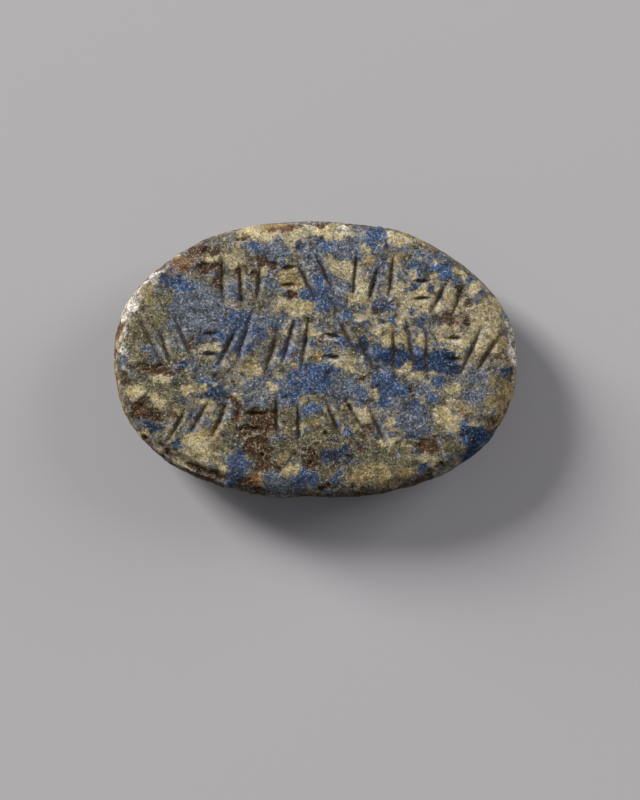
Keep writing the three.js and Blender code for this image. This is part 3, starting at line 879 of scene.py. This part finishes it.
# %% Pits and chips
PIT_COUNT = 420
PIT_REACH = (0.1, 0.26)
# a pit's depth as a share of its reach
PIT_DEPTH = (0.2, 0.55)
CHIP_COUNT = 130
CHIP_REACH = (0.15, 0.4)
CHIP_DEPTH = 0.22
# the middles of the chipped stretches of rim in degrees with their shares of the chips, how far the
# chips scatter from them, and how far inside and above the girdle they lie
CHIP_STRETCHES = {-8: 0.36, 232: 0.3, 150: 0.14, 90: 0.1, 300: 0.1}
CHIP_SCATTER = 14
CHIP_INSET = (-0.1, 0.35)
CHIP_RISE = (-0.4, 0.7)


def scoops(points, middles, reaches, depths):
    """The depth of round hollows, each (1 - d^2)^2 of its depth at a share d of its reach."""
    total = np.zeros(len(points))
    for middle, reach, depth in zip(middles, reaches, depths):
        near = np.flatnonzero(np.abs(points[:, 0] - middle[0]) < reach)
        distance = np.sum((points[near] - middle) ** 2, axis=1) / reach**2
        total[near] = np.maximum(total[near], depth * np.clip(1 - distance, 0, 1) ** 2)
    return total


def pits(points):
    """Small pits, scattered over the upper side, up to three times as deep in earthy rock."""
    random = np.random.default_rng(5)
    chosen = random.choice(len(face), PIT_COUNT, replace=False)
    reaches = random.uniform(*PIT_REACH, PIT_COUNT)
    depths = reaches * random.uniform(*PIT_DEPTH, PIT_COUNT) * (0.5 + earthiness[chosen])
    return scoops(points, face[chosen], reaches, depths)


def chips(points):
    """Flakes off the rim, most of them on the right and the lower left."""
    random = np.random.default_rng(8)
    shares_of_chips = list(CHIP_STRETCHES.values())
    stretches = random.choice(list(CHIP_STRETCHES), CHIP_COUNT, p=shares_of_chips)
    angle = np.radians(stretches + random.normal(0, CHIP_SCATTER, CHIP_COUNT))
    radius = girdle_radius(angle) - random.uniform(*CHIP_INSET, CHIP_COUNT)
    height = GIRDLE_HEIGHT + random.uniform(*CHIP_RISE, CHIP_COUNT)
    middles = np.stack([radius * np.cos(angle), radius * np.sin(angle), height], axis=1)
    reaches = random.uniform(*CHIP_REACH, CHIP_COUNT)
    return scoops(points, middles, reaches, CHIP_DEPTH * reaches)


# %% Wear the stone down
EARTH_SINKS = 0.05
STROKE_WAVINESS = 0.04


def worn_away(depth, size, layers, seed, offset=0.8):
    """A depth times an offset less rough noise, so that hardly any of it is negative."""
    return depth * (offset - rough_noise(plain, size, layers, seed))


waviness = worn_away(0.018, 2.4, 1, 101) + worn_away(0.022, 1.0, 2, 105)
grain = worn_away(0.014, 0.36, 3, 111, offset=1.2) * (0.7 + 0.9 * earthiness)
off_the_back = 0.3 + 0.7 * smooth_step(plain[:, 2], 0, 0.5)
on_upper_side = smooth_step(plain[:, 2], 1.0, 2.2)
pitting = pits(plain) + EARTH_SINKS * earthiness * on_upper_side
chipping = chips(plain)
grooves, dirt_and_shade, fresh_and_highlight = np.zeros((3, len(plain)))
top = np.arange(len(face))
stroke_waviness = STROKE_WAVINESS * rough_noise(face, 0.5, 2, 121)
grooves[top], dirt_and_shade[top], fresh_and_highlight[top] = groove_depth(face[:, 0], face[:, 1], stroke_waviness)

worn = plain - outward * ((waviness + grain) * off_the_back + pitting + chipping)[:, None]
worn[:, 2] = np.maximum(worn[:, 2] - grooves, 0)
worn[:, :2] -= CENTRE
stone_mesh.vertices.foreach_set("co", (worn * MM).astype(np.float32).ravel())
stone_mesh.update()
print(f"deepest stroke {grooves.max():.2f} mm, deepest pit {pitting.max():.2f} mm")

# %% Hand the colours and hollows to the mesh
# the pits hold dirt, and the strokes hold dirt with painted shade
FULL_OF_DIRT = 0.2
hollow = np.clip(dirt_and_shade + pitting / FULL_OF_DIRT, 0, 1)


def store(name, kind, values):
    """Puts one value a point into the mesh, under a name that the material can read."""
    layer = stone_mesh.attributes.new(name, kind, "POINT")
    key = "color" if kind == "FLOAT_COLOR" else "value"
    layer.data.foreach_set(key, np.ascontiguousarray(values, dtype=np.float32).ravel())


opaque = np.ones((len(plain), 1))
store("rock_colour", "FLOAT_COLOR", np.hstack([rock_colour, opaque]))
store("earthiness", "FLOAT", earthiness)
store("creaminess", "FLOAT", share_of("cream", "ochre"))
store("depth_of_blue", "FLOAT", share_of("navy"))
store("hollow", "FLOAT", hollow)
# the pale fresh rock and painted highlight doesn't show where the rock itself is dark
store("fresh_rock_and_highlight", "FLOAT", fresh_and_highlight * (1 - earthiness - share_of("navy")))
stone_mesh.shade_smooth()
stone = bpy.data.objects.new("worn_stone", stone_mesh)
bpy.context.scene.collection.objects.link(stone)

# %% [markdown]
# ## The stone's finish
#
# The mesh carries the broad pigments, and the shader adds what is finer than its cells: crystals of
# about 0.1 mm that are each a little lighter or darker, a cream that wanders between grey and
# straw, white and near-black flecks, rust and sparkles in the earth, pale fresh rock with a painted
# highlight on the strokes' lit open walls, dirt in the hollows with painted shade in the strokes,
# and a worn polish in which single crystal faces glint.
# Noise at several sizes makes the flecks, because crushed crystals have no round outlines.

# %% Node helpers
finish = bpy.data.materials.new("worn_lapis")
finish.use_nodes = True
tree = finish.node_tree
shader = tree.nodes["Principled BSDF"]


def add_node(kind, inputs, **settings):
    """Adds a node, gives it its settings, and links or sets its inputs."""
    made = tree.nodes.new(kind)
    for name, value in settings.items():
        setattr(made, name, value)
    for socket, value in inputs.items():
        if isinstance(value, bpy.types.NodeSocket):
            tree.links.new(value, made.inputs[socket])
        else:
            made.inputs[socket].default_value = value
    return made


def mix_colours(amount, first, second, way="MIX"):
    """Mixes two colours by an amount. The colour sockets of a Mix node are numbers 6 and 7."""
    mix = add_node(
        "ShaderNodeMix", {0: amount, 6: first, 7: second}, data_type="RGBA", blend_type=way
    )
    return mix.outputs[2]


def remap(value, low, high, to_low=0.0, to_high=1.0):
    """Carries a stretch of values to another, held at its ends."""
    inputs = {"Value": value, "From Min": low, "From Max": high}
    inputs.update({"To Min": to_low, "To Max": to_high})
    return add_node("ShaderNodeMapRange", inputs).outputs["Result"]


def combine(way, first, second):
    """One step of arithmetic on two values."""
    return add_node("ShaderNodeMath", {0: first, 1: second}, operation=way).outputs[0]


def times(first, second):
    """Two values multiplied."""
    return combine("MULTIPLY", first, second)


def carried(name, output="Fac"):
    """A value that the mesh carries at its points."""
    return add_node("ShaderNodeAttribute", {}, attribute_name=name).outputs[output]


# %% Patterns
coordinates = tree.nodes.new("ShaderNodeTexCoord").outputs["Object"]
in_mm = add_node(
    "ShaderNodeMapping", {"Vector": coordinates, "Scale": (1 / MM, 1 / MM, 1 / MM)}
).outputs["Vector"]


def noise_pattern(size, detail, seed):
    """Blender's noise with features of a size in millimetres, cut from its fourth dimension."""
    inputs = {"Vector": in_mm, "W": seed, "Scale": 1 / size, "Detail": detail, "Roughness": 0.75}
    return add_node("ShaderNodeTexNoise", inputs, noise_dimensions="4D").outputs["Fac"]


tone_noise = noise_pattern(0.5, 5.0, 0.0)
fine_noise = noise_pattern(0.08, 3.0, 3.0)
white_noise = noise_pattern(0.13, 4.0, 6.0)
dark_noise = noise_pattern(0.16, 4.0, 9.0)
tint_noise = noise_pattern(0.8, 3.0, 12.0)
crystals = add_node("ShaderNodeTexVoronoi", {"Vector": in_mm, "Scale": 1 / 0.075})
crystal_tone = add_node("ShaderNodeSeparateColor", {"Color": crystals.outputs["Color"]})

# %% Light and dark crystals
GREYER = (1.0, 1.04, 1.25, 1)
YELLOWER = (0.97, 0.94, 0.72, 1)

rock = carried("rock_colour", "Color")
creamy = carried("creaminess")
# each ramp stretches the middle of a noise, where most of its values lie
tone = times(remap(tone_noise, 0.35, 0.65, 0.32, 1.68), remap(fine_noise, 0.37, 0.63, 0.2, 1.85))
tone = times(tone, remap(crystal_tone.outputs["Red"], 0.0, 1.0, 0.65, 1.35))
# the cream is more even than the other rock
even_tone = add_node("ShaderNodeMix", {0: times(creamy, 0.3), 2: tone, 3: 1.05}).outputs[0]
channels = {"Red": even_tone, "Green": even_tone, "Blue": even_tone}
tone_colour = add_node("ShaderNodeCombineColor", channels).outputs["Color"]
colour = mix_colours(1.0, rock, tone_colour, "MULTIPLY")
tint = mix_colours(remap(tint_noise, 0.4, 0.6), GREYER, YELLOWER)
colour = mix_colours(creamy, colour, mix_colours(1.0, colour, tint, "MULTIPLY"))

# %% Flecks
RUST_FLECK = (0.2, 0.095, 0.03, 1)
WHITE_CRYSTAL = (0.58, 0.56, 0.54, 1)
BRIGHTENED = (2.5, 2.5, 2.5, 1)
DARKENED = (0.1, 0.09, 0.075, 1)
SPARKLE = (0.36, 0.27, 0.2, 1)

earthy = carried("earthiness")
rust_amount = times(remap(fine_noise, 0.5, 0.62, 0.0, 0.8), earthy)
colour = mix_colours(rust_amount, colour, RUST_FLECK)

# earth and deep blue hold few white crystals
clean = remap(earthy, 0.0, 1.0, 1.0, 0.12)
clean = times(clean, remap(carried("depth_of_blue"), 0.0, 1.0, 1.0, 0.3))
white_amount = times(remap(white_noise, 0.54, 0.61, 0.0, 0.9), clean)
white_amount = times(white_amount, remap(tone_noise, 0.4, 0.6, 0.25, 1.0))
bright_rock = mix_colours(1.0, rock, BRIGHTENED, "MULTIPLY")
colour = mix_colours(white_amount, colour, mix_colours(0.55, bright_rock, WHITE_CRYSTAL))

# and the cream holds fewer dark ones
sparser = combine("ADD", dark_noise, times(creamy, 0.04))
dark_amount = times(remap(sparser, 0.49, 0.4), remap(tone_noise, 0.6, 0.4, 0.35, 1.0))
colour = mix_colours(dark_amount, colour, DARKENED, "MULTIPLY")
colour = mix_colours(times(remap(white_noise, 0.58, 0.62), earthy), colour, SPARKLE)

# %% Fresh rock and painted highlight, dirt and painted shade
FRESH_ROCK_AND_HIGHLIGHT = (0.42, 0.4, 0.36, 1)
DIRT_AND_SHADE = (0.045, 0.028, 0.009, 1)

# pale paint on the strokes' lit open walls: fresh rock and a painted highlight
fresh_and_highlight_amount = times(carried("fresh_rock_and_highlight"), remap(tone_noise, 0.4, 0.6, 0.0, 0.4))
colour = mix_colours(fresh_and_highlight_amount, colour, FRESH_ROCK_AND_HIGHLIGHT)
# dark paint in the pits and strokes: dirt, and on the strokes' floors and steep walls also painted
# shade
dirt_and_shade_amount = times(carried("hollow"), remap(tone_noise, 0.3, 0.6, 0.6, 0.95))
colour = mix_colours(dirt_and_shade_amount, colour, DIRT_AND_SHADE)
tree.links.new(colour, shader.inputs["Base Color"])

# %% Gloss and fine relief
# how far the finest grain stands out, in mm
FINE_RELIEF = 0.095

glint = remap(crystal_tone.outputs["Blue"], 0.84, 0.91)
roughness = remap(tone_noise, 0.3, 0.7, 0.5, 0.7)
roughness = combine("SUBTRACT", roughness, times(glint, 0.3))
tree.links.new(roughness, shader.inputs["Roughness"])
shine = combine("ADD", times(clean, 0.15), glint)
tree.links.new(combine("ADD", shine, 0.12), shader.inputs["Specular IOR Level"])
grain_height = combine("ADD", times(tone_noise, 0.4), fine_noise)
grain_height = combine("ADD", grain_height, times(crystals.outputs["Distance"], 0.25))
relief = {"Height": grain_height, "Strength": 1.0, "Distance": FINE_RELIEF * MM}
bump = add_node("ShaderNodeBump", relief)
tree.links.new(bump.outputs["Normal"], shader.inputs["Normal"])
stone_mesh.materials.append(finish)
print(len(tree.nodes), "nodes make the finish")

# %% [markdown]
# ## Hand over
#
# The fine surface takes the place of the measured solid, and moves with it.

# %% Finish
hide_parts(NODE)
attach(stone, "root")
